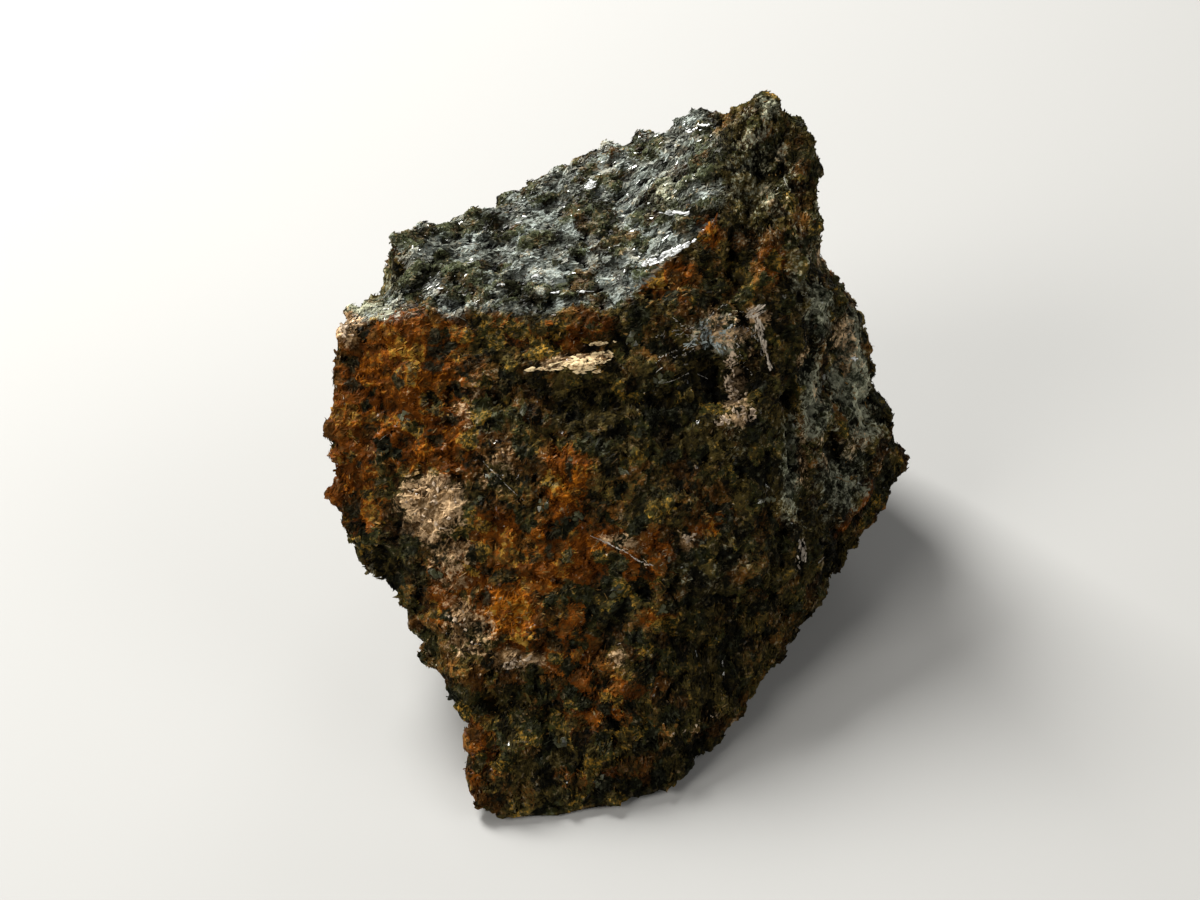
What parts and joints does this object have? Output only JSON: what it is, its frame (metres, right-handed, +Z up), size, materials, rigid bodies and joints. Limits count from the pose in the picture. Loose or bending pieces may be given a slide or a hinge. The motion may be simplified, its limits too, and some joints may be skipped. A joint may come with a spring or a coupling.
{
  "type": "raw nuummite",
  "caption": "Rough broken lump of dark bladed rock with a stepped top, a pointed corner, a rusty felted front and a level foot to rest on.",
  "frame": {"origin": "middle of the bounding box at the level foot", "axes": "+Z up from the foot, -Y towards the leaning rusty front face, +X towards the pointed corner's side"},
  "size_m": [0.044, 0.0444, 0.0361],
  "materials": {
    "nuummite": "raw broken rock, matt rusty brown and dark olive on the front, glittering silvery black on the top"
  },
  "bodies": {
    "root": {"nuummite": "nuummite"}
  },
  "joints": []
}
